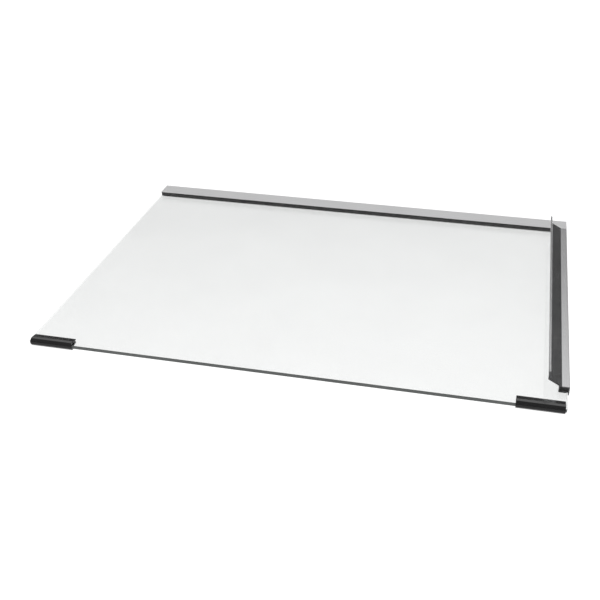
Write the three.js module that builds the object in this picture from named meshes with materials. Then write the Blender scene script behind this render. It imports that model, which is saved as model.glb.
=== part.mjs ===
// Framed glass guard panel: a clear toughened pane with an aluminium rail along its rear edge, a
// finger-pull stile along its right edge and two push-on clips at its front corners.
// Millimetres. +X runs right along the rail, +Y to the rear, +Z up. The origin is the middle of the
// underside. Inside the assembly, places are measured from the pane's front left top corner.

import * as THREE from "three";

// Driving dimensions

const seat = 0.05; // clearance between two faces that bear on each other

const pane = { width: 600, depth: 452, thickness: 4, cornerRadius: 1.5, arris: 0.4 };

const rail = {
  depth: 27.4, // front edge of the top plate to the rear face
  legDepth: 20, // rear face to the front edge of the lower leg
  height: 6.35, // top face above the pane's top face
  wall: 1.2,
  rearBend: 1.5, // outer radius where the rear wall meets the two legs
  bendLand: 0.5, // straight bit of each leg that stays with the rear wall's bend
  noseRound: 0.35, // rounding of the free edges
  leftInset: 1, // pane's left edge to the rail's left end
  ribDepth: 1.2,
  ribDrop: 2.4,
};

const bedding = { thickness: 1.6, frontSetback: 1.5 };

const wedge = {
  depth: 7, // plate's front edge to the gasket's rear
  toeSetback: 0.6, // plate's front edge to the toe on the pane
  lipThickness: 0.7, // lip that covers the plate's front edge
  lipDrop: 0.15, // lip's top below the plate's top face
  lipRound: 0.25,
  shoulder: 1, // upright part of the lip's front below the plate
  endInset: 1.2,
  round: 0.7,
  groove: 0.5,
};

const block = { length: 30, thickness: 3.1, height: 3.4, round: 0.5, endShare: 0.25 };

const stile = {
  height: 7.75, // flange above the pane's top face
  wall: 1.3,
  sideGap: 0.7, // pane's right edge to the skirt
  skirtDrop: 2.5, // skirt below the pane's top face
  boxWidth: 11.4,
  flangeWidth: 8.2,
  lipReach: 21.3, // outer face to the lip's right face
  lipThickness: 2,
  lipTop: 24.6, // above the pane's top face
  beadSwell: 0.4, // how far the bead along the lip's top stands out to the left
  beadHeight: 2.4,
  webRise: 7.1, // flange to the foot of the lip, along the web's upper face
  outerRound: 0.9, // flange's outer edge
  footRound: 0.3, // free edges of the skirt and of the box's foot
  bendRound: 0.6, // where flange, web and lip meet
  frontSetback: 29.9, // pane's front edge to the stile's front end
  endGap: 0.2, // stile's rear end to the gasket's lip
};

const tape = { thickness: 0.5, inset: 0.4 };

const endPlug = { depth: 10, recess: 0.3, clearance: 0.1, round: 0.5 };

const clip = {
  length: 50.4,
  reach: 12.8, // pane's front edge to the rear tips of the lips
  wall: 1.5, // pane's front edge to the clip's nose
  tip: 1.3, // thickness of each lip at its rear tip
  tipRound: 0.4,
  landRear: 5, // the crown's flat land, measured from the pane's front edge
  landFront: 1.5,
  landRound: 5, // rounding of the land's rear edge
  noseHeight: 3.2, // upright flat of the nose
  noseRound: 1.2,
  leftInset: 1.7, // pane's left edge to the left clip
  rightInset: 1.5, // pane's right edge to the right clip
};

// Sizes that follow from the driving dimensions

const railRear = pane.depth + seat + block.thickness + seat + rail.wall;
const railFront = railRear - rail.depth;
const stileOuter = pane.width + stile.sideGap + stile.wall;
const railLength = stileOuter - rail.leftInset;
const underside = -(pane.thickness + seat + bedding.thickness + seat + rail.wall);
const clipCrown = -underside - pane.thickness; // each lip's swell, so that clips and rail stand level
const gasketFront = railFront - seat - wedge.lipThickness;
const stileRear = gasketFront - stile.endGap;
const boxFloor = seat + tape.thickness + seat;
const boxLeft = stileOuter - stile.boxWidth;

// Materials

function finish(colour, roughness, metalness, extra = {}) {
  return new THREE.MeshStandardMaterial({ color: colour, roughness, metalness, ...extra });
}

const satinAluminium = finish(0xb9babc, 0.35, 0.95);
const clearGlass = finish(0xeef2f1, 0.05, 0, { transparent: true, opacity: 0.3 });
const blackRubber = finish(0x232323, 0.75, 0);
const blackPlastic = finish(0x1c1c1d, 0.4, 0);
const foamTape = finish(0x3a3a3a, 0.9, 0);

// Section and solid helpers

// A closed outline through corners [u, v, radius], with an arc of that radius at each corner.
function outline(corners, Kind = THREE.Shape) {
  const path = new Kind();
  corners.forEach(([u, v, radius = 0], i) => {
    const here = new THREE.Vector2(u, v);
    const last = corners[(i + corners.length - 1) % corners.length];
    const next = corners[(i + 1) % corners.length];
    const back = new THREE.Vector2(last[0], last[1]).sub(here).normalize();
    const ahead = new THREE.Vector2(next[0], next[1]).sub(here).normalize();
    const half = Math.acos(THREE.MathUtils.clamp(back.dot(ahead), -1, 1)) / 2;
    const start = here.clone().addScaledVector(back, radius / Math.tan(half));
    if (i === 0) path.moveTo(start.x, start.y);
    else path.lineTo(start.x, start.y);
    if (radius === 0) return;
    const end = here.clone().addScaledVector(ahead, radius / Math.tan(half));
    const centre = here
      .clone()
      .addScaledVector(back.clone().add(ahead).normalize(), radius / Math.sin(half));
    const from = start.sub(centre).angle();
    const to = end.sub(centre).angle();
    path.absarc(centre.x, centre.y, radius, from, to, back.cross(ahead) > 0);
  });
  path.closePath();
  return path;
}

const curveSegments = 4;

// A section drawn in Y and Z, swept along X from one place to another.
function sweptAlongX(shape, from, to) {
  const geometry = new THREE.ExtrudeGeometry(shape, {
    depth: to - from,
    bevelEnabled: false,
    curveSegments,
  });
  const turn = new THREE.Matrix4().makeBasis(
    new THREE.Vector3(0, 1, 0),
    new THREE.Vector3(0, 0, 1),
    new THREE.Vector3(1, 0, 0),
  );
  return geometry.applyMatrix4(turn).translate(from, 0, 0);
}

// A section drawn in X and Z, swept along Y from one place to another.
function sweptAlongY(shape, from, to) {
  const geometry = new THREE.ExtrudeGeometry(shape, {
    depth: to - from,
    bevelEnabled: false,
    curveSegments,
  });
  const turn = new THREE.Matrix4().makeBasis(
    new THREE.Vector3(1, 0, 0),
    new THREE.Vector3(0, 0, 1),
    new THREE.Vector3(0, -1, 0),
  );
  return geometry.applyMatrix4(turn).translate(0, to, 0);
}

function part(name, geometry, material) {
  const mesh = new THREE.Mesh(geometry, material);
  mesh.name = name;
  return mesh;
}

// Glass

// A flat sheet with dubbed corners and a fine ground arris along every edge.
function glassPane() {
  const { width, depth, thickness, cornerRadius, arris } = pane;
  const sheet = outline([
    [0, 0, cornerRadius],
    [width, 0, cornerRadius],
    [width, depth, cornerRadius],
    [0, depth, cornerRadius],
  ]);
  const geometry = new THREE.ExtrudeGeometry(sheet, {
    depth: thickness - 2 * arris,
    bevelThickness: arris,
    bevelSize: arris,
    bevelOffset: -arris,
    bevelSegments: 1,
    curveSegments,
  });
  return part("glass_pane", geometry.translate(0, 0, arris - thickness), clearGlass);
}

// Rear rail

// The rail is one extrusion, a channel that is open to the front and takes the pane's rear edge. It
// is made here as four simple lengths, so that its collision follows the channel: the rear wall with
// its two bends, the top plate, the rib under the plate and the lower leg. The rib keeps the wedge
// gasket from creeping inwards.

function railPiece(name, corners) {
  const geometry = sweptAlongX(outline(corners), rail.leftInset, rail.leftInset + railLength);
  return part(name, geometry, satinAluminium);
}

function railPieces() {
  const { height, wall, rearBend, bendLand, noseRound, ribDepth, ribDrop, legDepth } = rail;
  const innerBend = rearBend - wall;
  const bendFront = railRear - rearBend - bendLand;
  const legsRear = bendFront - seat;
  const legFront = railRear - legDepth;
  const legTop = underside + wall;
  const plateUnder = height - wall;
  const ribFront = railFront + wedge.depth + seat;
  const ribRear = ribFront + ribDepth;
  const ribFoot = plateUnder - ribDrop;
  return [
    railPiece("rear_rail_rear_wall", [
      [bendFront, plateUnder],
      [railRear - wall, plateUnder, innerBend],
      [railRear - wall, legTop, innerBend],
      [bendFront, legTop],
      [bendFront, underside],
      [railRear, underside, rearBend],
      [railRear, height, rearBend],
      [bendFront, height],
    ]),
    railPiece("rear_rail_plate", [
      [railFront, plateUnder, noseRound],
      [legsRear, plateUnder],
      [legsRear, height],
      [railFront, height, noseRound],
    ]),
    railPiece("rear_rail_rib", [
      [ribFront, ribFoot, noseRound],
      [ribRear, ribFoot, noseRound],
      [ribRear, plateUnder - seat],
      [ribFront, plateUnder - seat],
    ]),
    railPiece("rear_rail_leg", [
      [legFront, underside, noseRound],
      [legsRear, underside],
      [legsRear, legTop],
      [legFront, legTop, noseRound],
    ]),
  ];
}

// The black strip pressed in between the top plate and the pane. It has a soft toe on the glass, a
// pressure-relief groove along its top and a lip that covers the plate's front edge.
function wedgeGasket() {
  const toe = railFront + wedge.toeSetback;
  const rear = railFront + wedge.depth;
  const top = rail.height - rail.wall - seat;
  const middle = (toe + rear) / 2;
  const lipTop = rail.height - wedge.lipDrop;
  const section = outline([
    [toe, seat, wedge.round / 2],
    [rear, seat, wedge.round],
    [rear, top, wedge.round],
    [middle + wedge.groove, top],
    [middle, top - wedge.groove],
    [middle - wedge.groove, top],
    [railFront - seat, top],
    [railFront - seat, lipTop, wedge.lipRound],
    [gasketFront, lipTop, wedge.lipRound],
    [gasketFront, top - wedge.shoulder, wedge.round],
  ]);
  const from = rail.leftInset + wedge.endInset;
  const to = stileOuter - wedge.endInset;
  return part("rear_rail_wedge_gasket", sweptAlongX(section, from, to), blackRubber);
}

// The rubber strip that the pane beds on, over the lower leg.
function beddingStrip() {
  const top = -pane.thickness - seat;
  const front = railRear - rail.legDepth + bedding.frontSetback;
  const section = outline([
    [front, top - bedding.thickness],
    [pane.depth - pane.arris, top - bedding.thickness],
    [pane.depth - pane.arris, top],
    [front, top],
  ]);
  const from = rail.leftInset + wedge.endInset;
  const to = pane.width - pane.cornerRadius;
  return part("rear_rail_bedding_strip", sweptAlongX(section, from, to), blackRubber);
}

// Two rubber blocks keep the pane's rear edge off the metal, each a share of the pane's width in
// from its end.
function settingBlocks() {
  const front = pane.depth + seat;
  const middle = -pane.thickness / 2;
  const section = outline([
    [front, middle - block.height / 2],
    [front + block.thickness, middle - block.height / 2, block.round],
    [front + block.thickness, middle + block.height / 2, block.round],
    [front, middle + block.height / 2],
  ]);
  const centres = {
    left: pane.width * block.endShare,
    right: pane.width * (1 - block.endShare),
  };
  return Object.entries(centres).map(([side, x]) =>
    part(
      `rear_setting_block_${side}`,
      sweptAlongX(section, x - block.length / 2, x + block.length / 2),
      blackRubber,
    ),
  );
}

// Side stile

// The stile is one extrusion. It is made here as three lengths side by side, each a simple shape,
// so that the space under the web and the one behind the lip stay open: the channel on the pane,
// the web that rises from it and the lip along the web's free edge.

const lipRight = stileOuter - stile.lipReach;
const lipLeft = lipRight - stile.lipThickness;
const flangeLeft = stileOuter - stile.flangeWidth;
const webSlope = stile.webRise / (flangeLeft - lipRight);
const webDrop = stile.wall * Math.hypot(1, webSlope); // wall thickness measured straight down

// Heights of the web's two faces at a place across it.
const webTop = (x) => stile.height + (flangeLeft - x) * webSlope;
const webUnder = (x) => webTop(x) - webDrop;

function stileLength(name, section) {
  return part(name, sweptAlongY(section, stile.frontSetback, stileRear), satinAluminium);
}

// The box that stands on the pane, with the flange on top and the skirt over the pane's edge.
function stileChannel() {
  const { height, wall, skirtDrop, outerRound, footRound, bendRound } = stile;
  const section = outline([
    [stileOuter - wall, -skirtDrop, footRound],
    [stileOuter, -skirtDrop, footRound],
    [stileOuter, height, outerRound],
    [flangeLeft, height, bendRound],
    [boxLeft, webTop(boxLeft)],
    [boxLeft, boxFloor, footRound],
    [stileOuter - wall, boxFloor],
  ]);
  section.holes.push(stileHollow(0, endPlug.round, THREE.Path));
  return stileLength("side_stile_channel", section);
}

function stileWeb() {
  const right = boxLeft - seat;
  const left = lipRight + seat;
  return stileLength(
    "side_stile_web",
    outline([
      [left, webUnder(left)],
      [right, webUnder(right)],
      [right, webTop(right)],
      [left, webTop(left)],
    ]),
  );
}

// The upright lip, with a bead along its top.
function stileLip() {
  const { lipTop, beadSwell, beadHeight, bendRound } = stile;
  const beadLeft = lipLeft - beadSwell;
  const beadRound = (lipRight - beadLeft) * 0.4;
  return stileLength(
    "side_stile_lip",
    outline([
      [lipLeft, webUnder(lipLeft), bendRound],
      [lipRight, webUnder(lipRight)],
      [lipRight, lipTop, beadRound],
      [beadLeft, lipTop, beadRound],
      [beadLeft, lipTop - beadHeight, beadSwell],
      [lipLeft, lipTop - beadHeight - 2 * beadSwell, beadSwell],
    ]),
  );
}

// The hollow inside the stile's box, made smaller all round by a clearance.
function stileHollow(clearance, round, Kind) {
  const { height, wall } = stile;
  const left = boxLeft + wall + clearance;
  const right = stileOuter - wall - clearance;
  const floor = boxFloor + wall + clearance;
  const ceiling = height - wall - clearance;
  const corners = [
    [left, floor, round],
    [right, floor, round],
    [right, ceiling, round],
    [left, ceiling, round],
  ];
  return outline(corners, Kind);
}

// The strip that bonds the stile's box to the pane.
function bondingTape() {
  const left = boxLeft + tape.inset;
  const right = pane.width - pane.arris - tape.inset;
  const section = outline([
    [left, seat],
    [right, seat],
    [right, seat + tape.thickness],
    [left, seat + tape.thickness],
  ]);
  const geometry = sweptAlongY(section, stile.frontSetback, stileRear);
  return part("side_stile_bonding_tape", geometry, foamTape);
}

// The plug that closes the hollow at the stile's front end, a little inside it.
function stileEndPlug() {
  const front = stile.frontSetback + endPlug.recess;
  const section = stileHollow(endPlug.clearance, endPlug.round, THREE.Shape);
  const geometry = sweptAlongY(section, front, front + endPlug.depth);
  return part("side_stile_end_plug", geometry, blackPlastic);
}

// Edge clips

// A U section pushed over the pane's front edge. Each lip swells from its thin rear tip to a flat
// land, and the nose falls back from there to a short upright flat. It is the same above and below.
function clipSection() {
  const { reach, wall, tip, tipRound, landRear, landFront, landRound, noseHeight, noseRound } = clip;
  const middle = -pane.thickness / 2;
  const above = [
    [-seat, seat],
    [reach, seat, tipRound],
    [reach, seat + tip, tipRound],
    [landRear, clipCrown, landRound],
    [landFront, clipCrown, noseRound],
    [-wall, middle + noseHeight / 2, noseRound],
  ];
  const below = above.map(([y, z, radius]) => [y, 2 * middle - z, radius]).reverse();
  return outline([...above, ...below]);
}

function edgeClip(name, from) {
  const geometry = sweptAlongX(clipSection(), from, from + clip.length);
  return part(name, geometry, blackPlastic);
}

// Assembly

const rearAssembly = new THREE.Group();
rearAssembly.add(...railPieces(), wedgeGasket(), beddingStrip(), ...settingBlocks());

const sideAssembly = new THREE.Group();
sideAssembly.add(stileChannel(), stileWeb(), stileLip(), bondingTape(), stileEndPlug());

const frontAssembly = new THREE.Group();
frontAssembly.add(
  edgeClip("left_edge_clip", clip.leftInset),
  edgeClip("right_edge_clip", pane.width - clip.rightInset - clip.length),
);

const layout = new THREE.Group();
layout.add(glassPane(), rearAssembly, sideAssembly, frontAssembly);
layout.position.set(-stileOuter / 2, -(railRear - clip.wall) / 2, -underside);

const guardPanel = new THREE.Group();
guardPanel.add(layout);

export default guardPanel;
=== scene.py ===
"""A framed glass guard panel: a clear pane, a rear rail, a finger-pull side stile and two edge clips.

Metres. +X runs right along the rail, +Y to the rear and +Z up, from the middle of the underside.
"""

import logging
import math
from collections.abc import Mapping, Sequence
from dataclasses import dataclass
from enum import Enum

import bpy
import numpy as np
from mathutils import Matrix, Vector
from mathutils.geometry import tessellate_polygon


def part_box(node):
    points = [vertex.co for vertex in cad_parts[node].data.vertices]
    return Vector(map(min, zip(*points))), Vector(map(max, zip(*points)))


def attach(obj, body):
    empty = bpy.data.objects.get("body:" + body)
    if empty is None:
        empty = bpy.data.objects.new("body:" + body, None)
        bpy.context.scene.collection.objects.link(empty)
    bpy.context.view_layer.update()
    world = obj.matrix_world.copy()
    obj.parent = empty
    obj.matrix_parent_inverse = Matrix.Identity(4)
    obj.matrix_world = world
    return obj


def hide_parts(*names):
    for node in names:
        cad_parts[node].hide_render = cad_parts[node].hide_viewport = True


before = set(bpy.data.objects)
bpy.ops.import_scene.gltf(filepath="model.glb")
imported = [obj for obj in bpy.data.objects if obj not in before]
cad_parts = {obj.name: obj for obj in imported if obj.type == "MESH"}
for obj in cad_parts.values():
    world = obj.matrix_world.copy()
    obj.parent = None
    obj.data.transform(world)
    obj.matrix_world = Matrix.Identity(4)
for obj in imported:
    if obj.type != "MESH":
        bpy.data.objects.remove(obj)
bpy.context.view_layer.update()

MM = 0.001
SEAT = 0.05 * MM  # clearance between two faces that bear on each other
BODY = "root"
SHARP_ANGLE = math.radians(38)

log = logging.getLogger("guard_panel")

Corner = tuple[float, float, float]
Colour = tuple[float, float, float, float]
WHITE: Colour = (1.0, 1.0, 1.0, 1.0)
NOISE_ROUGHNESS = 0.55  # how much each finer layer of a noise counts
MaterialParts = tuple[bpy.types.Material, bpy.types.NodeTree, bpy.types.Node, bpy.types.NodeSocket]


# Outlines and meshes


class Run(Enum):
    """The way a section is carried."""

    ALONG_X = "x"
    ALONG_Y = "y"


def unit(vectors: np.ndarray) -> np.ndarray:
    """Scales each row to length one."""
    return vectors / np.linalg.norm(vectors, axis=-1, keepdims=True)


def rounded_outline(corners: Sequence[Corner], arc_points: int = 9) -> np.ndarray:
    """Draws a closed outline with an arc at each corner.

    Where two sides meet at twice the half angle h, an arc of radius r touches each side at r / tan h
    from the corner and is centred r / sin h along the bisector. The arc's points are the centre plus
    r times a unit vector that turns evenly from the first touching point to the second.

    Args:
        corners: (u, v, radius) for each corner, anticlockwise.
        arc_points: points on each arc.

    Returns:
        The outline's points, one (u, v) row each, with none repeated.
    """
    table = np.array(corners, float)
    here, radius = table[:, :2], table[:, 2:]
    back = unit(np.roll(here, 1, axis=0) - here)
    ahead = unit(np.roll(here, -1, axis=0) - here)
    half = np.arccos(np.clip((back * ahead).sum(axis=1, keepdims=True), -1, 1)) / 2
    centre = here + unit(back + ahead) * radius / np.sin(half)
    first = here + back * radius / np.tan(half) - centre
    last = here + ahead * radius / np.tan(half) - centre
    begin = np.arctan2(first[:, 1], first[:, 0])
    turn = np.arctan2(last[:, 1], last[:, 0]) - begin
    turn = (turn + math.pi) % math.tau - math.pi
    angle = begin[:, None] + turn[:, None] * np.linspace(0, 1, arc_points)
    points = centre[:, None] + radius[:, None] * np.stack([np.cos(angle), np.sin(angle)], axis=-1)
    points = points.reshape(-1, 2)
    step = np.linalg.norm(points - np.roll(points, 1, axis=0), axis=1)
    return points[step > 1e-7]


def rounded_box(
    low: Sequence[float], high: Sequence[float], radius: float, arc_points: int = 9
) -> np.ndarray:
    """Draws an upright rectangle between two corners, with an arc at each of its four corners.

    Args:
        low: the corner with the lowest (u, v).
        high: the corner with the highest (u, v).
        radius: the radius of each arc.
        arc_points: how many points each arc has.

    Returns:
        The outline's points as rows of (u, v).
    """
    (left, bottom), (right, top) = low, high
    corners = [(left, bottom), (right, bottom), (right, top), (left, top)]
    return rounded_outline([(u, v, radius) for u, v in corners], arc_points)


def inset(outline: np.ndarray, distance: float) -> np.ndarray:
    """Moves an anticlockwise outline inwards.

    A point whose two sides have inward normals m and n moves along m + n by distance / (1 + m.n), so
    that both sides shift by the distance.

    Args:
        outline: the points, one (u, v) row each.
        distance: how far each side moves.

    Returns:
        The moved points.
    """
    side = unit(np.roll(outline, -1, axis=0) - outline)
    normal = np.stack([-side[:, 1], side[:, 0]], axis=1)
    before = np.roll(normal, 1, axis=0)
    return outline + distance * (normal + before) / (1 + (normal * before).sum(axis=1, keepdims=True))


def ring_quads(rings: int, points: int, first: int = 0) -> np.ndarray:
    """Joins neighbouring rings of a grid with four-sided faces, closing each ring on itself."""
    ring, point = np.meshgrid(np.arange(rings - 1), np.arange(points), indexing="ij")
    here, beside = ring * points + point, ring * points + (point + 1) % points
    quads = np.stack([here, beside, beside + points, here + points], axis=-1)
    return quads.reshape(-1, 4) + first


def placed(section: np.ndarray, place: float, run: Run) -> np.ndarray:
    """Stands a section's (u, v) points in the frame, at one place along its run."""
    along = np.full(len(section), place)
    if run is Run.ALONG_X:
        return np.stack([along, section[:, 0], section[:, 1]], axis=1)
    return np.stack([section[:, 0], along, section[:, 1]], axis=1)


def new_piece(name: str, points: np.ndarray, faces: list[list[int]], slots: np.ndarray) -> bpy.types.Object:
    """Makes a smooth-shaded mesh object that stays crisp at its sharp edges.

    Args:
        name: the piece's name.
        points: vertex positions, one row each.
        faces: vertex numbers of each face.
        slots: the material slot of each face.

    Returns:
        The new object, at the origin.
    """
    mesh = bpy.data.meshes.new(name)
    mesh.from_pydata(points.tolist(), [], faces)
    mesh.polygons.foreach_set("material_index", slots.astype(np.int32))
    mesh.shade_smooth()
    mesh.set_sharp_from_angle(angle=SHARP_ANGLE)
    mesh.validate()
    piece = bpy.data.objects.new(name, mesh)
    bpy.context.scene.collection.objects.link(piece)
    shading = piece.modifiers.new("even_shading", "WEIGHTED_NORMAL")
    shading.keep_sharp = True
    return piece


def carried_section(
    name: str,
    section: np.ndarray,
    start: float,
    end: float,
    run: Run,
    bevel: float,
    hollow: np.ndarray | None = None,
) -> bpy.types.Object:
    """Carries a section straight from start to end, with its ends bevelled.

    The surface is a grid of rings. The end rings are the section moved in by the bevel, and the next
    ones are the full section a bevel further along. A hollow is the same grid with its faces turned
    round, and its end rings are moved out. The ends are filled flat.

    Args:
        name: the piece's name.
        section: the outline, anticlockwise.
        start: place of the first end.
        end: place of the second end.
        run: the way it is carried.
        bevel: size of the bevel round each end.
        hollow: outline of a hollow that runs right through.

    Returns:
        The piece. Its sides are in material slot 0 and its ends in slot 1.
    """
    places = (start, start + bevel, end - bevel, end)
    shifts = (bevel, 0.0, 0.0, bevel)
    loops = [section] if hollow is None else [section, hollow]
    points, faces, slots = [], [], []
    first = 0
    for number, loop in enumerate(loops):
        shifted = [inset(loop, -shift if number else shift) for shift in shifts]
        points += [placed(ring, place, run) for ring, place in zip(shifted, places)]
        quads = ring_quads(len(places), len(loop), first)
        faces.append(quads[:, ::-1] if number else quads)
        slots.append(np.tile([1, 0, 1], (len(loop), 1)).T.ravel())
        first += len(places) * len(loop)
    flat = [inset(loop, -bevel if number else bevel) for number, loop in enumerate(loops)]
    corners = np.array(tessellate_polygon([np.pad(loop, ((0, 0), (0, 1))).tolist() for loop in flat]))
    joined = np.vstack(flat)
    a, b, c = (joined[corners[:, k]] for k in range(3))
    turned = (b - a)[:, 0] * (c - a)[:, 1] - (b - a)[:, 1] * (c - a)[:, 0] < 0
    corners[turned] = corners[turned, ::-1]
    sizes = [len(loop) for loop in loops]
    starts = [len(places) * sum(sizes[:number]) for number in range(len(loops))]
    near = np.concatenate([start + np.arange(size) for start, size in zip(starts, sizes)])
    far = near + np.repeat([(len(places) - 1) * size for size in sizes], sizes)
    faces += [near[corners][:, ::-1], far[corners]]
    slots.append(np.ones(2 * len(corners), int))
    if run is Run.ALONG_Y:
        faces = [group[:, ::-1] for group in faces]
    listed = [face for group in faces for face in group.tolist()]
    return new_piece(name, np.vstack(points), listed, np.concatenate(slots))


# Material nodes


def put(tree: bpy.types.NodeTree, kind: str, inputs: Mapping | None = None, **settings) -> bpy.types.Node:
    """Adds a node and fills its inputs.

    Args:
        tree: the tree to add to.
        kind: the node's type.
        inputs: a value or an output socket for each input, by name or number.
        settings: the node's own properties.

    Returns:
        The node.
    """
    node = tree.nodes.new(kind)
    for key, value in settings.items():
        setattr(node, key, value)
    for key, value in (inputs or {}).items():
        if isinstance(value, bpy.types.NodeSocket):
            tree.links.new(value, node.inputs[key])
        else:
            node.inputs[key].default_value = value
    return node


def maths(tree: bpy.types.NodeTree, operation: str, *values: object) -> bpy.types.NodeSocket:
    """Adds a Math node on up to three values or sockets and returns its output."""
    node = put(tree, "ShaderNodeMath", dict(enumerate(values)), operation=operation)
    return node.outputs[0]


def blended(tree: bpy.types.NodeTree, share: object, low: object, high: object) -> bpy.types.NodeSocket:
    """Blends two colours by a share and returns the colour."""
    node = put(tree, "ShaderNodeMix", {0: share, 6: low, 7: high}, data_type="RGBA")
    return node.outputs[2]


def ranged(tree: bpy.types.NodeTree, value: object, low: float, high: float) -> bpy.types.NodeSocket:
    """Spreads a value from 0 to 1 over a range from low to high."""
    return put(tree, "ShaderNodeMapRange", {"Value": value, "To Min": low, "To Max": high}).outputs[0]


def noise(tree: bpy.types.NodeTree, place: object, scale: object, detail: float) -> bpy.types.NodeSocket:
    """Adds a noise texture and returns its value."""
    inputs = {"Vector": place, "Scale": scale, "Detail": detail, "Roughness": NOISE_ROUGHNESS}
    return put(tree, "ShaderNodeTexNoise", inputs).outputs[0]


def new_group(name: str, inputs: Mapping[str, float], outputs: Sequence[str]) -> bpy.types.NodeTree:
    """Starts a node group with float inputs and outputs, and a Place vector as its first input."""
    group = bpy.data.node_groups.new(name, "ShaderNodeTree")
    group.interface.new_socket("Place", in_out="INPUT", socket_type="NodeSocketVector")
    for title, value in inputs.items():
        socket = group.interface.new_socket(title, in_out="INPUT", socket_type="NodeSocketFloat")
        socket.default_value = value
    for title in outputs:
        group.interface.new_socket(title, in_out="OUTPUT", socket_type="NodeSocketFloat")
    return group


def brushing_group() -> bpy.types.NodeTree:
    """Streaks along the first axis of Place, fine and broad, and a slow cloud across the sheet."""
    group = new_group("brushing", {"Fine": 2600.0, "Broad": 420.0}, ["Streak", "Band", "Cloud"])
    drawn_out = (0.006, 1.0, 1.0)  # a streak varies this much more slowly along its length
    cloud_scale = 14.0
    place, fine, broad = put(group, "NodeGroupInput").outputs[:3]
    drawn = put(group, "ShaderNodeMapping", {"Vector": place, "Scale": drawn_out}).outputs[0]
    sink = put(group, "NodeGroupOutput")
    group.links.new(noise(group, drawn, fine, detail=3.0), sink.inputs["Streak"])
    group.links.new(noise(group, drawn, broad, detail=2.0), sink.inputs["Band"])
    group.links.new(noise(group, place, cloud_scale, detail=3.0), sink.inputs["Cloud"])
    return group


def edge_wear_group() -> bpy.types.NodeTree:
    """How near a point is to a sharp edge, from 0 to 1, broken up by noise.

    The mask is how far the normal of a rounded copy of the surface turns from the plain normal.
    """
    group = new_group("edge_wear", {"Radius": 0.0004, "Grain": 900.0}, ["Wear"])
    first_turn, full_turn = 0.02, 0.3  # one minus the cosine of the turn, where wear starts and is full
    least_left = 0.35  # the share of the wear that the noise never takes
    place, radius, grain = put(group, "NodeGroupInput").outputs[:3]
    soft = put(group, "ShaderNodeBevel", {"Radius": radius}, samples=4).outputs[0]
    plain = put(group, "ShaderNodeNewGeometry").outputs["Normal"]
    aligned = put(group, "ShaderNodeVectorMath", {0: soft, 1: plain}, operation="DOT_PRODUCT")
    turned = maths(group, "SUBTRACT", 1.0, aligned.outputs["Value"])
    turns = {"Value": turned, "From Min": first_turn, "From Max": full_turn}
    spread = put(group, "ShaderNodeMapRange", turns).outputs[0]
    broken = ranged(group, noise(group, place, grain, detail=2.0), least_left, 1.0)
    sink = put(group, "NodeGroupOutput")
    group.links.new(maths(group, "MULTIPLY", spread, broken), sink.inputs["Wear"])
    return group


def dust_group() -> bpy.types.NodeTree:
    """Specks and a thin film that lie on faces turned up, from 0 to 1."""
    group = new_group("dust", {"Specks": 1400.0, "Film": 35.0}, ["Dust"])
    first_speck, full_speck = 0.62, 0.72  # the noise value where a speck starts and is full
    film_share = 0.35
    place, specks, film = put(group, "NodeGroupInput").outputs[:3]
    normal = put(group, "ShaderNodeNewGeometry").outputs["Normal"]
    upward = put(group, "ShaderNodeSeparateXYZ", {0: normal}).outputs[2]
    grit = noise(group, place, specks, detail=1.0)
    speck_range = {"Value": grit, "From Min": first_speck, "From Max": full_speck}
    speck = put(group, "ShaderNodeMapRange", speck_range).outputs[0]
    veil = maths(group, "MULTIPLY", noise(group, place, film, detail=4.0), film_share)
    cover = maths(group, "MAXIMUM", speck, veil)
    lying = maths(group, "MULTIPLY", cover, maths(group, "MAXIMUM", upward, 0.0))
    sink = put(group, "NodeGroupOutput")
    group.links.new(lying, sink.inputs["Dust"])
    return group


class Effects:
    """The node groups that the finishes share."""

    def __init__(self) -> None:
        """Builds each group once."""
        self.brushing = brushing_group()
        self.edge_wear = edge_wear_group()
        self.dust = dust_group()


def use(tree: bpy.types.NodeTree, group: bpy.types.NodeTree, inputs: Mapping) -> bpy.types.Node:
    """Places a node group in a tree and fills its inputs."""
    node = put(tree, "ShaderNodeGroup", node_tree=group)
    for key, value in inputs.items():
        if isinstance(value, bpy.types.NodeSocket):
            tree.links.new(value, node.inputs[key])
        else:
            node.inputs[key].default_value = value
    return node


def new_material(name: str) -> MaterialParts:
    """Starts a material and returns it with its tree, its Principled shader and Object coordinates."""
    material = bpy.data.materials.new(name)
    material.use_nodes = True
    tree = material.node_tree
    shader = tree.nodes["Principled BSDF"]
    place = put(tree, "ShaderNodeTexCoord").outputs["Object"]
    return material, tree, shader, place


def bumped(tree: bpy.types.NodeTree, height: object, strength: float, depth: float) -> bpy.types.NodeSocket:
    """Turns a height into a normal."""
    inputs = {"Height": height, "Strength": strength, "Distance": depth}
    return put(tree, "ShaderNodeBump", inputs).outputs[0]


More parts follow.
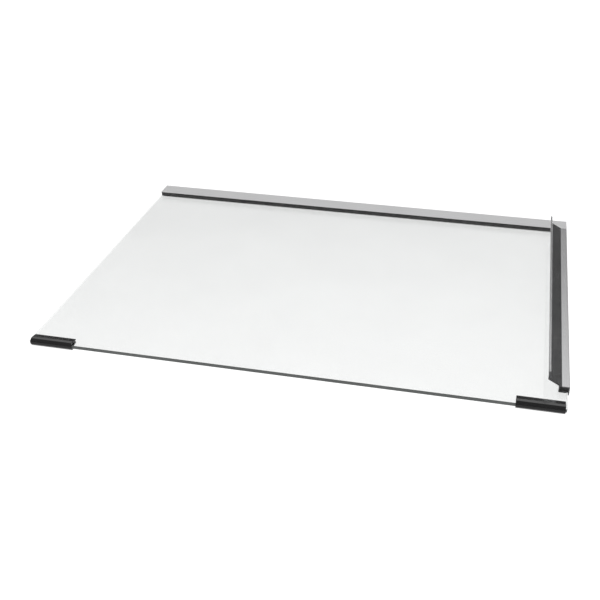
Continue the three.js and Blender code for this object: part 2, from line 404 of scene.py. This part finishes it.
@dataclass(frozen=True)
class SatinAluminium:
    """Anodised aluminium, brushed lengthwise."""

    name: str
    run: Run
    light: Colour = (0.83, 0.83, 0.84, 1.0)
    dark: Colour = (0.64, 0.643, 0.65, 1.0)
    roughness: tuple[float, float] = (0.15, 0.25)
    streak_depth: float = 0.008 * MM
    streak_strength: float = 0.35
    mottle_shares: tuple[float, float] = (0.6, 0.4)  # of the broad bands and of the cloud
    uneven_shares: tuple[float, float] = (0.5, 0.5)  # of the streaks and of the cloud, in the roughness
    rubbed: Colour = (0.9, 0.9, 0.9, 1.0)
    wear_share: float = 0.6
    dusty: Colour = (0.62, 0.6, 0.57, 1.0)
    dust_share: float = 0.12
    dust_roughness: float = 0.1

    def build(self, effects: Effects) -> bpy.types.Material:
        """Makes the material.

        Args:
            effects: the shared node groups.

        Returns:
            The material.
        """
        material, tree, shader, place = new_material(self.name)
        quarter = math.pi / 2 if self.run is Run.ALONG_Y else 0.0
        turn = {"Vector": place, "Rotation": (0.0, 0.0, quarter)}
        turned = put(tree, "ShaderNodeMapping", turn).outputs[0]
        grain = use(tree, effects.brushing, {"Place": turned})
        streak, band, cloud = (grain.outputs[title] for title in ("Streak", "Band", "Cloud"))
        wear = use(tree, effects.edge_wear, {"Place": place}).outputs[0]
        dust = use(tree, effects.dust, {"Place": place}).outputs[0]
        band_share, cloud_share = self.mottle_shares
        mottle = maths(tree, "MULTIPLY_ADD", band, band_share, maths(tree, "MULTIPLY", cloud, cloud_share))
        metal = blended(tree, mottle, self.dark, self.light)
        worn = blended(tree, maths(tree, "MULTIPLY", wear, self.wear_share), metal, self.rubbed)
        dusted = blended(tree, maths(tree, "MULTIPLY", dust, self.dust_share), worn, self.dusty)
        streak_share, slow_share = self.uneven_shares
        slow = maths(tree, "MULTIPLY", cloud, slow_share)
        rough = ranged(tree, maths(tree, "MULTIPLY_ADD", streak, streak_share, slow), *self.roughness)
        dulled = maths(tree, "MULTIPLY_ADD", dust, self.dust_roughness, rough)
        tree.links.new(dusted, shader.inputs["Base Color"])
        tree.links.new(dulled, shader.inputs["Roughness"])
        tree.links.new(bumped(tree, streak, self.streak_strength, self.streak_depth), shader.inputs["Normal"])
        shader.inputs["Metallic"].default_value = 1.0
        return material


@dataclass(frozen=True)
class ShadedSawnAluminium:
    """The cut end of an extrusion: dull, crossed by fine saw marks, and dark with painted shade."""

    name: str
    # painted shade: these dark tones stand in for the shade the end faces sit in
    light: Colour = (0.20, 0.20, 0.205, 1.0)
    dark: Colour = (0.08, 0.08, 0.083, 1.0)
    mark_pitch: float = 3200.0
    mark_slant: float = 0.5
    mark_strength: float = 0.5
    mark_depth: float = 0.02 * MM
    roughness: tuple[float, float] = (0.42, 0.6)
    rubbed: Colour = (0.5, 0.5, 0.5, 1.0)
    wear_share: float = 0.35
    wear_radius: float = 0.25 * MM

    def build(self, effects: Effects) -> bpy.types.Material:
        """Makes the material.

        Args:
            effects: the shared node groups.

        Returns:
            The material.
        """
        material, tree, shader, place = new_material(self.name)
        slant = {"Vector": place, "Rotation": (0.0, self.mark_slant, 0.0)}
        slanted = put(tree, "ShaderNodeMapping", slant).outputs[0]
        marks = use(tree, effects.brushing, {"Place": slanted, "Fine": self.mark_pitch}).outputs["Streak"]
        wear = use(tree, effects.edge_wear, {"Place": place, "Radius": self.wear_radius}).outputs[0]
        metal = blended(tree, marks, self.dark, self.light)
        worn = blended(tree, maths(tree, "MULTIPLY", wear, self.wear_share), metal, self.rubbed)
        tree.links.new(worn, shader.inputs["Base Color"])
        tree.links.new(ranged(tree, marks, *self.roughness), shader.inputs["Roughness"])
        tree.links.new(bumped(tree, marks, self.mark_strength, self.mark_depth), shader.inputs["Normal"])
        shader.inputs["Metallic"].default_value = 1.0
        return material


@dataclass(frozen=True)
class ClearGlass:
    """Clear toughened glass that lets the lamps through to what lies under it."""

    name: str
    tint: Colour = (0.775, 0.782, 0.779, 1.0)
    smear: tuple[float, float] = (0.0, 0.02)
    dusty: Colour = (0.94, 0.95, 0.945, 1.0)
    film_scale: float = 9.0
    index: float = 1.5

    def build(self, effects: Effects) -> bpy.types.Material:
        """Makes the material.

        Args:
            effects: the shared node groups.

        Returns:
            The material.
        """
        material, tree, shader, place = new_material(self.name)
        dust = use(tree, effects.dust, {"Place": place, "Film": self.film_scale}).outputs[0]
        colour = blended(tree, dust, self.tint, self.dusty)
        tree.links.new(colour, shader.inputs["Base Color"])
        tree.links.new(ranged(tree, dust, *self.smear), shader.inputs["Roughness"])
        shader.inputs["IOR"].default_value = self.index
        shader.inputs["Transmission Weight"].default_value = 1.0
        clear = put(tree, "ShaderNodeBsdfTransparent", {"Color": self.tint})
        shadow = put(tree, "ShaderNodeLightPath").outputs["Is Shadow Ray"]
        both = put(tree, "ShaderNodeMixShader", {0: shadow, 1: shader.outputs[0], 2: clear.outputs[0]})
        tree.links.new(both.outputs[0], tree.nodes["Material Output"].inputs["Surface"])
        return material


@dataclass(frozen=True)
class GroundGlass:
    """The pane's ground edge: a grey satin band from outside, its dark grey painted shade for the dim glass
    edge, and clear from inside the sheet.
    """

    name: str
    # painted shade: the edge's dark greys stand in for the dimness of a glass edge
    light: Colour = (0.15, 0.16, 0.155, 1.0)
    dark: Colour = (0.08, 0.088, 0.085, 1.0)
    fine_grit: float = 4200.0
    broad_grit: float = 900.0
    grit_strength: float = 0.3
    grit_depth: float = 0.01 * MM
    roughness: tuple[float, float] = (0.3, 0.5)
    chipped: Colour = (0.55, 0.57, 0.56, 1.0)
    wear_share: float = 0.12
    wear_radius: float = 0.3 * MM
    inner_tint: Colour = (0.97, 0.98, 0.975, 1.0)

    def build(self, effects: Effects) -> bpy.types.Material:
        """Makes the material.

        Args:
            effects: the shared node groups.

        Returns:
            The material.
        """
        material, tree, shader, place = new_material(self.name)
        grits = {"Place": place, "Fine": self.fine_grit, "Broad": self.broad_grit}
        grain = use(tree, effects.brushing, grits)
        grit, cloud = grain.outputs["Streak"], grain.outputs["Cloud"]
        wear = use(tree, effects.edge_wear, {"Place": place, "Radius": self.wear_radius}).outputs[0]
        ground = blended(tree, cloud, self.dark, self.light)
        lit = blended(tree, maths(tree, "MULTIPLY", wear, self.wear_share), ground, self.chipped)
        tree.links.new(lit, shader.inputs["Base Color"])
        tree.links.new(ranged(tree, grit, *self.roughness), shader.inputs["Roughness"])
        tree.links.new(bumped(tree, grit, self.grit_strength, self.grit_depth), shader.inputs["Normal"])
        clear = put(tree, "ShaderNodeBsdfTransparent", {"Color": self.inner_tint})
        inside = put(tree, "ShaderNodeNewGeometry").outputs["Backfacing"]
        both = put(tree, "ShaderNodeMixShader", {0: inside, 1: shader.outputs[0], 2: clear.outputs[0]})
        tree.links.new(both.outputs[0], tree.nodes["Material Output"].inputs["Surface"])
        return material


@dataclass(frozen=True)
class MouldedBlack:
    """A black polymer: pebbled, a little dusty and paler where its edges are rubbed."""

    name: str
    base: Colour
    rubbed: Colour
    roughness: tuple[float, float]
    pebble: float
    pebble_depth: float
    gloss: float = 0.5
    painted_sheen: float = 0.0  # painted sheen: a clear coat on the faces turned up, which puts a highlight on the crown
    painted_sheen_heights: tuple[float, float] = (0.45, 0.8)  # the upward normal where it starts and is full
    painted_sheen_roughness: float = 0.2
    painted_sheen_index: float = 1.6
    pebble_strength: float = 0.4
    mottle_size: float = 30.0  # in pebbles
    mottle_share: float = 0.3
    wear_share: float = 0.5
    wear_radius: float = 0.5 * MM
    dusty: Colour = (0.4, 0.39, 0.37, 1.0)
    dust_share: float = 0.06

    def build(self, effects: Effects) -> bpy.types.Material:
        """Makes the material.

        Args:
            effects: the shared node groups.

        Returns:
            The material.
        """
        material, tree, shader, place = new_material(self.name)
        fine = noise(tree, place, self.pebble, detail=2.0)
        slow = noise(tree, place, self.pebble / self.mottle_size, detail=3.0)
        wear = use(tree, effects.edge_wear, {"Place": place, "Radius": self.wear_radius}).outputs[0]
        dust = use(tree, effects.dust, {"Place": place}).outputs[0]
        varied = blended(tree, maths(tree, "MULTIPLY", slow, self.mottle_share), self.base, self.rubbed)
        worn = blended(tree, maths(tree, "MULTIPLY", wear, self.wear_share), varied, self.rubbed)
        dusted = blended(tree, maths(tree, "MULTIPLY", dust, self.dust_share), worn, self.dusty)
        tree.links.new(dusted, shader.inputs["Base Color"])
        tree.links.new(ranged(tree, slow, *self.roughness), shader.inputs["Roughness"])
        tree.links.new(bumped(tree, fine, self.pebble_strength, self.pebble_depth), shader.inputs["Normal"])
        # Painted sheen: the coat's weight rises with how far a face turns up, so the crown catches a
        # highlight
        normal = put(tree, "ShaderNodeNewGeometry").outputs["Normal"]
        upward = put(tree, "ShaderNodeSeparateXYZ", {0: normal}).outputs[2]
        first, full = self.painted_sheen_heights
        painted_sheen_range = {"Value": upward, "From Min": first, "From Max": full, "To Max": self.painted_sheen}
        tree.links.new(put(tree, "ShaderNodeMapRange", painted_sheen_range).outputs[0], shader.inputs["Coat Weight"])
        shader.inputs["Coat Roughness"].default_value = self.painted_sheen_roughness
        shader.inputs["Coat IOR"].default_value = self.painted_sheen_index
        shader.inputs["Specular IOR Level"].default_value = self.gloss
        return material


@dataclass(frozen=True)
class PaleFloor:
    """A plain pale matt floor."""

    name: str
    light: Colour = (0.24, 0.24, 0.24, 1.0)
    dark: Colour = (0.22, 0.22, 0.22, 1.0)
    glow: float = 1.04  # a lit floor, which keeps shadows faint
    cloud_scale: float = 3.0
    roughness: float = 0.9
    gloss: float = 0.1

    def build(self) -> bpy.types.Material:
        """Makes the material."""
        material, tree, shader, place = new_material(self.name)
        colour = blended(tree, noise(tree, place, self.cloud_scale, detail=2.0), self.dark, self.light)
        tree.links.new(colour, shader.inputs["Base Color"])
        shader.inputs["Roughness"].default_value = self.roughness
        shader.inputs["Specular IOR Level"].default_value = self.gloss
        shader.inputs["Emission Color"].default_value = WHITE
        shader.inputs["Emission Strength"].default_value = self.glow
        return material


class Finishes:
    """Every material of the panel, built once."""

    def __init__(self, effects: Effects) -> None:
        """Builds the materials.

        Args:
            effects: the shared node groups.
        """
        self.rail = SatinAluminium(
            "rail_satin_aluminium",
            Run.ALONG_X,
            light=(0.96, 0.96, 0.965, 1.0),
            dark=(0.81, 0.813, 0.82, 1.0),
            roughness=(0.38, 0.5),
        ).build(effects)
        self.stile = SatinAluminium("stile_satin_aluminium", Run.ALONG_Y).build(effects)
        # The cut ends carry painted shade in their dark colour.
        self.sawn_painted_shade = ShadedSawnAluminium("sawn_aluminium_painted_shade").build(effects)
        self.glass = ClearGlass("clear_glass").build(effects)
        # The ground edge's dark grey is painted shade.
        self.ground = GroundGlass("ground_glass_edge_painted_shade").build(effects)
        self.rubber = MouldedBlack(
            "black_rubber",
            base=(0.075, 0.075, 0.075, 1.0),
            rubbed=(0.13, 0.13, 0.13, 1.0),
            roughness=(0.6, 0.8),
            pebble=2200.0,
            pebble_depth=0.02 * MM,
        ).build(effects)
        self.plastic = MouldedBlack(
            "black_clip_plastic",
            base=(0.010, 0.010, 0.011, 1.0),
            rubbed=(0.05, 0.05, 0.05, 1.0),
            roughness=(0.3, 0.4),
            pebble=1600.0,
            pebble_depth=0.01 * MM,
            gloss=0.25,
            # the clips carry the full painted sheen on their crowns
            painted_sheen=1.0,
        ).build(effects)
        self.plug = MouldedBlack(
            "black_plug_plastic",
            base=(0.016, 0.016, 0.016, 1.0),
            rubbed=(0.05, 0.05, 0.05, 1.0),
            roughness=(0.5, 0.65),
            pebble=1600.0,
            pebble_depth=0.02 * MM,
        ).build(effects)
        self.foam = MouldedBlack(
            "grey_foam_tape",
            base=(0.05, 0.05, 0.05, 1.0),
            rubbed=(0.12, 0.12, 0.12, 1.0),
            roughness=(0.85, 0.95),
            pebble=3200.0,
            pebble_depth=0.06 * MM,
        ).build(effects)


def dress(piece: bpy.types.Object, *materials: bpy.types.Material) -> None:
    """Gives a piece its materials, in slot order."""
    for material in materials:
        piece.data.materials.append(material)


def settle(piece: bpy.types.Object, slot: str, *nodes: str) -> None:
    """Lets a piece ride on the panel in place of one or more CAD nodes and reports it."""
    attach(piece, BODY)
    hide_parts(*nodes)
    log.info("%s: %d faces, in place of %s", piece.name, len(piece.data.polygons), ", ".join(nodes))


def reach(nodes: Sequence[str]) -> tuple[Vector, Vector]:
    """Returns the lowest and highest corners of the box round several CAD nodes."""
    boxes = np.array([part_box(node) for node in nodes])
    return Vector(boxes[:, 0].min(axis=0)), Vector(boxes[:, 1].max(axis=0))


# The panel's sub-assemblies


@dataclass
class Pane:
    """The clear pane, with dubbed corners and a rounded ground arris."""

    corner_radius: float = 1.5 * MM
    arris: float = 0.4 * MM
    arris_points: int = 5

    def outline(self) -> np.ndarray:
        """Returns the sheet's outline in X and Y."""
        low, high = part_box("glass_pane")
        return rounded_box(low.xy, high.xy, self.corner_radius)

    def build(self, finishes: Finishes) -> None:
        """Makes the pane.

        Each ring of the surface is the outline moved in by an inset at a height. Over the top arris
        the inset is a (1 - sin t) and the drop a (1 - cos t) for t from 0 to a right angle, and the
        lower arris mirrors it.

        Args:
            finishes: the panel's materials.
        """
        low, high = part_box("glass_pane")
        outline = self.outline()
        turn = np.linspace(0, math.pi / 2, self.arris_points)
        shift = self.arris * (1 - np.sin(turn))
        drop = self.arris * (1 - np.cos(turn))
        shifts = np.concatenate([shift, shift[::-1]])
        heights = np.concatenate([high.z - drop, low.z + drop[::-1]])
        rings = [
            np.column_stack([inset(outline, shift), np.full(len(outline), height)])
            for shift, height in zip(shifts, heights)
        ]
        quads = ring_quads(len(rings), len(outline))[:, ::-1]
        top = np.arange(len(outline))
        bottom = top[::-1] + (len(rings) - 1) * len(outline)
        faces = quads.tolist() + [top.tolist(), bottom.tolist()]
        slots = np.concatenate([np.ones(len(quads)), [0, 0]])
        piece = new_piece("pane", np.vstack(rings), faces, slots)
        dress(piece, finishes.glass, finishes.ground)
        settle(piece, "pane_glass", "glass_pane")


@dataclass
class RearRail:
    """The channel along the rear edge, with its gasket, bedding strip and setting blocks."""

    wall: float = 1.2 * MM
    leg_depth: float = 20 * MM
    rear_bend: float = 1.5 * MM
    nose_round: float = 0.35 * MM
    rib_depth: float = 1.2 * MM
    rib_drop: float = 2.4 * MM
    end_bevel: float = 0.15 * MM
    gasket_round: float = 0.7 * MM
    gasket_groove: float = 0.5 * MM
    toe_setback: float = 0.6 * MM
    lip_round: float = 0.25 * MM
    lip_shoulder: float = 1 * MM
    soft_bevel: float = 0.25 * MM
    soft_arc_points: int = 5
    nodes: tuple[str, ...] = ("rear_rail_rear_wall", "rear_rail_plate", "rear_rail_rib", "rear_rail_leg")

    def channel(self, finishes: Finishes) -> None:
        """Makes the aluminium channel, one extrusion in place of its four lengths."""
        low, high = reach(self.nodes)
        gasket_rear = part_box("rear_rail_wedge_gasket")[1].y
        plate = high.z - self.wall
        rib = gasket_rear + SEAT
        nose = self.nose_round
        inner = self.rear_bend - self.wall
        leg = high.y - self.leg_depth
        section = rounded_outline([
            (low.y, high.z, nose),
            (low.y, plate, nose),
            (rib, plate, 0.0),
            (rib, plate - self.rib_drop, nose),
            (rib + self.rib_depth, plate - self.rib_drop, nose),
            (rib + self.rib_depth, plate, 0.0),
            (high.y - self.wall, plate, inner),
            (high.y - self.wall, low.z + self.wall, inner),
            (leg, low.z + self.wall, nose),
            (leg, low.z, nose),
            (high.y, low.z, self.rear_bend),
            (high.y, high.z, self.rear_bend),
        ])
        piece = carried_section("rail_channel", section, low.x, high.x, Run.ALONG_X, self.end_bevel)
        dress(piece, finishes.rail, finishes.sawn_painted_shade)
        settle(piece, "rail_aluminium", *self.nodes)

    def gasket(self, finishes: Finishes) -> None:
        """Makes the wedge gasket under the channel's top plate, with its lip over the plate's front."""
        low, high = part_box("rear_rail_wedge_gasket")
        plate_low, plate_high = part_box("rear_rail_plate")
        top = plate_high.z - self.wall - SEAT
        toe = plate_low.y + self.toe_setback
        lip_rear = plate_low.y - SEAT
        middle = (toe + high.y) / 2
        round_, lip_round = self.gasket_round, self.lip_round
        section = rounded_outline([
            (toe, low.z, round_ / 2),
            (high.y, low.z, round_),
            (high.y, top, round_),
            (middle + self.gasket_groove, top, 0.0),
            (middle, top - self.gasket_groove, 0.0),
            (middle - self.gasket_groove, top, 0.0),
            (lip_rear, top, 0.0),
            (lip_rear, high.z, lip_round),
            (low.y, high.z, lip_round),
            (low.y, top - self.lip_shoulder, round_),
        ])
        piece = carried_section("wedge_gasket", section, low.x, high.x, Run.ALONG_X, self.soft_bevel)
        dress(piece, finishes.rubber, finishes.rubber)
        settle(piece, "gasket_rubber", "rear_rail_wedge_gasket")

    def hidden_rubber(self, finishes: Finishes) -> None:
        """Makes the bedding strip and the setting blocks, which the channel hides."""
        pieces = {
            "rear_rail_bedding_strip": ("bedding_strip", "bedding_rubber"),
            "rear_setting_block_left": ("setting_block_left", "block_rubber"),
            "rear_setting_block_right": ("setting_block_right", "block_rubber"),
        }
        for node, (name, slot) in pieces.items():
            low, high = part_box(node)
            edge = self.soft_bevel
            section = rounded_box(low.yz, high.yz, edge, self.soft_arc_points)
            piece = carried_section(name, section, low.x, high.x, Run.ALONG_X, edge / 2)
            dress(piece, finishes.rubber, finishes.rubber)
            settle(piece, slot, node)

    def build(self, finishes: Finishes) -> None:
        """Makes the rail's pieces."""
        self.channel(finishes)
        self.gasket(finishes)
        self.hidden_rubber(finishes)


@dataclass
class SideStile:
    """The finger-pull extrusion along the right edge, its bonding tape and its end plug."""

    wall: float = 1.3 * MM
    flange_height: float = 7.75 * MM  # above the pane
    box_width: float = 11.4 * MM
    flange_width: float = 8.2 * MM
    lip_thickness: float = 2 * MM
    bead_swell: float = 0.4 * MM
    bead_height: float = 2.4 * MM
    web_rise: float = 7.1 * MM
    outer_round: float = 0.9 * MM
    foot_round: float = 0.3 * MM
    bend_round: float = 0.6 * MM
    hollow_round: float = 0.5 * MM
    bead_share: float = 0.4  # the radius on top of the lip, as a share of its width
    end_bevel: float = 0.12 * MM
    nodes: tuple[str, ...] = ("side_stile_channel", "side_stile_web", "side_stile_lip")

    def section(self) -> tuple[np.ndarray, np.ndarray]:
        """Draws the extrusion's outline and its hollow, in X and Z.

        Returns:
            The outer outline and the hollow's outline.
        """
        low, high = reach(self.nodes)
        (left_end, bottom_end), (right_end, top_end) = low.xz, high.xz
        pane_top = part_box("glass_pane")[1].z
        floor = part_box("side_stile_bonding_tape")[1].z + SEAT
        flange = pane_top + self.flange_height
        box_left = right_end - self.box_width
        flange_left = right_end - self.flange_width
        lip_left = left_end + self.bead_swell
        lip_right = lip_left + self.lip_thickness
        slope = self.web_rise / (flange_left - lip_right)
        drop = self.wall * math.hypot(1, slope)
        bead_round = (lip_right - left_end) * self.bead_share
        bead_foot = top_end - self.bead_height

        def web_top(x: float) -> float:
            """Height of the web's upper face at x."""
            return flange + (flange_left - x) * slope

        outer = rounded_outline([
            (right_end - self.wall, bottom_end, self.foot_round),
            (right_end, bottom_end, self.foot_round),
            (right_end, flange, self.outer_round),
            (flange_left, flange, self.bend_round),
            (lip_right, web_top(lip_right), self.bend_round),
            (lip_right, top_end, bead_round),
            (left_end, top_end, bead_round),
            (left_end, bead_foot, self.bead_swell),
            (lip_left, bead_foot - 2 * self.bead_swell, self.bead_swell),
            (lip_left, web_top(lip_left) - drop, self.bend_round),
            (box_left, web_top(box_left) - drop, self.bend_round),
            (box_left, floor, self.foot_round),
            (right_end - self.wall, floor, 0.0),
        ])
        inner_low = (box_left + self.wall, floor + self.wall)
        inner_high = (right_end - self.wall, flange - self.wall)
        return outer, rounded_box(inner_low, inner_high, self.hollow_round)

    def extrusion(self, finishes: Finishes) -> None:
        """Makes the aluminium extrusion, one piece in place of its three lengths."""
        low, high = reach(self.nodes)
        outer, hollow = self.section()
        piece = carried_section(
            "stile_extrusion", outer, low.y, high.y, Run.ALONG_Y, self.end_bevel, hollow
        )
        dress(piece, finishes.stile, finishes.sawn_painted_shade)
        settle(piece, "stile_aluminium", *self.nodes)

    def fillers(self, finishes: Finishes) -> None:
        """Makes the bonding tape and the end plug."""
        pieces = {
            "side_stile_bonding_tape": ("bonding_tape", "tape_foam", finishes.foam, self.foot_round / 2),
            "side_stile_end_plug": ("end_plug", "plug_plastic", finishes.plug, self.hollow_round),
        }
        for node, (name, slot, material, round_) in pieces.items():
            low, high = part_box(node)
            section = rounded_box(low.xz, high.xz, round_)
            piece = carried_section(name, section, low.y, high.y, Run.ALONG_Y, round_ / 2)
            dress(piece, material, material)
            settle(piece, slot, node)

    def build(self, finishes: Finishes) -> None:
        """Makes the stile's pieces."""
        self.extrusion(finishes)
        self.fillers(finishes)


@dataclass
class EdgeClip:
    """One push-on clip at a front corner."""

    node: str
    name: str
    tip: float = 1.3 * MM
    tip_round: float = 0.4 * MM
    land_rear: float = 5 * MM
    land_front: float = 1.5 * MM
    land_round: float = 5 * MM
    nose_height: float = 3.2 * MM
    nose_round: float = 1.2 * MM
    end_bevel: float = 0.35 * MM

    def section(self) -> np.ndarray:
        """Draws the clip's U in Y and Z: the upper half, then the same points mirrored below."""
        low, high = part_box(self.node)
        pane_low, pane_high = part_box("glass_pane")
        middle = (pane_low.z + pane_high.z) / 2
        slot = (pane_high.z - pane_low.z) / 2 + SEAT
        crown = high.z - middle
        edge = pane_low.y
        above = [
            (edge - SEAT, slot, 0.0),
            (high.y, slot, self.tip_round),
            (high.y, slot + self.tip, self.tip_round),
            (edge + self.land_rear, crown, self.land_round),
            (edge + self.land_front, crown, self.nose_round),
            (low.y, self.nose_height / 2, self.nose_round),
        ]
        below = [(y, -z, radius) for y, z, radius in reversed(above)]
        outline = rounded_outline(above + below)
        return outline + np.array([0.0, middle])

    def build(self, finishes: Finishes) -> None:
        """Makes the clip."""
        low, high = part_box(self.node)
        piece = carried_section(self.name, self.section(), low.x, high.x, Run.ALONG_X, self.end_bevel)
        dress(piece, finishes.plastic, finishes.plastic)
        settle(piece, "clip_plastic", self.node)


# The studio


@dataclass
class Studio:
    """The lit floor, the soft overhead light, the dim room round them and the camera."""

    floor_half: float = 6.0
    floor_drop: float = 0.0001
    sky_top: float = 1.05
    sky_middle: float = 0.88
    sky_haze: float = 0.2904
    sky_steps: tuple[float, ...] = (0.26, 0.42, 0.56, 0.75)  # sines of the height angle, low to top
    sky_low: float = 0.03
    front_share: float = 0.12  # how bright the room is in front, against the rest
    front_depths: tuple[float, float] = (-0.6, -0.1)  # the depth of view where it is dim, and full
    backdrop: float = 1.04  # the plain pale wall seen past the floor's edge
    lamp_size: tuple[float, float] = (2.2, 2.0)
    lamp_place: tuple[float, float, float] = (0.0, -0.1, 2.6)
    lamp_power: float = 2.5
    camera_place: tuple[float, float, float] = (0.2150, -1.06085, 0.5847)
    camera_yaw: float = 13.27
    camera_pitch: float = 29.49
    camera_roll: float = -0.18
    lens: float = 57.17
    sensor: float = 36.0

    def floor(self) -> None:
        """Lays the floor under the panel."""
        half = self.floor_half
        corners = np.array([(-half, -half), (half, -half), (half, half), (-half, half)])
        points = np.column_stack([corners, np.full(4, -self.floor_drop)])
        mesh = bpy.data.meshes.new("floor")
        mesh.from_pydata(points.tolist(), [], [[0, 1, 2, 3]])
        floor = bpy.data.objects.new("floor", mesh)
        bpy.context.scene.collection.objects.link(floor)
        dress(floor, PaleFloor("pale_floor").build())

    def lights(self) -> None:
        """Hangs the soft lamp and sets the dim room."""
        lamp = bpy.data.lights.new("overhead", "AREA")
        lamp.shape = "RECTANGLE"
        lamp.size, lamp.size_y = self.lamp_size
        lamp.energy = self.lamp_power
        holder = bpy.data.objects.new("overhead", lamp)
        holder.location = self.lamp_place
        bpy.context.scene.collection.objects.link(holder)
        bpy.context.scene.world = self.room()

    def room(self) -> bpy.types.World:
        """Makes the room: dark at the horizon and in front, and brighter with height.

        The brightness follows the sine of the height angle, through a few chosen steps. That light
        falls on the panel and is mirrored in it. Seen directly, past the floor, there is a plain pale wall.
        """
        world = bpy.data.worlds.new("room")
        world.use_nodes = True
        tree = world.node_tree
        direction = put(tree, "ShaderNodeTexCoord").outputs["Generated"]
        depth, height = put(tree, "ShaderNodeSeparateXYZ", {0: direction}).outputs[1:]
        ramp = put(tree, "ShaderNodeValToRGB", {"Fac": height})
        steps = dict(zip(self.sky_steps, (self.sky_low, self.sky_haze, self.sky_middle, self.sky_top)))
        while len(ramp.color_ramp.elements) < len(steps):
            ramp.color_ramp.elements.new(1.0)
        for element, (place, light) in zip(ramp.color_ramp.elements, steps.items()):
            element.position = place
            element.color = (light / self.sky_top,) * 3 + (1.0,)
        background = tree.nodes["Background"]
        sides = {
            "Value": depth,
            "From Min": self.front_depths[0],
            "From Max": self.front_depths[1],
            "To Min": self.front_share * self.sky_top,
            "To Max": self.sky_top,
        }
        tree.links.new(ramp.outputs["Color"], background.inputs["Color"])
        tree.links.new(put(tree, "ShaderNodeMapRange", sides).outputs[0], background.inputs["Strength"])
        wall = put(tree, "ShaderNodeBackground", {"Color": WHITE, "Strength": self.backdrop})
        direct = put(tree, "ShaderNodeLightPath").outputs["Is Camera Ray"]
        seen = put(tree, "ShaderNodeMixShader", {0: direct, 1: background.outputs[0], 2: wall.outputs[0]})
        tree.links.new(seen.outputs[0], tree.nodes["World Output"].inputs["Surface"])
        return world

    def camera(self) -> None:
        """Places the camera in front of the panel, to the right and looking down at it."""
        data = bpy.data.cameras.new("camera")
        data.lens = self.lens
        data.sensor_width = self.sensor
        camera = bpy.data.objects.new("camera", data)
        yaw, pitch, roll = map(math.radians, (self.camera_yaw, self.camera_pitch, self.camera_roll))
        camera.matrix_world = (
            Matrix.Translation(self.camera_place)
            @ Matrix.Rotation(yaw, 4, "Z")
            @ Matrix.Rotation(math.pi / 2 - pitch, 4, "X")
            @ Matrix.Rotation(roll, 4, "Z")
        )
        bpy.context.scene.collection.objects.link(camera)
        bpy.context.scene.camera = camera
        bpy.context.scene.view_settings.view_transform = "Standard"

    def build(self) -> None:
        """Makes the studio."""
        self.floor()
        self.lights()
        self.camera()


def main() -> None:
    """Builds the panel's pieces in order, then the studio."""
    logging.basicConfig(level=logging.INFO, format="%(name)s: %(message)s")
    finishes = Finishes(Effects())
    Pane().build(finishes)
    RearRail().build(finishes)
    SideStile().build(finishes)
    EdgeClip("left_edge_clip", "clip_left").build(finishes)
    EdgeClip("right_edge_clip", "clip_right").build(finishes)
    Studio().build()


if __name__ == "__main__":
    main()
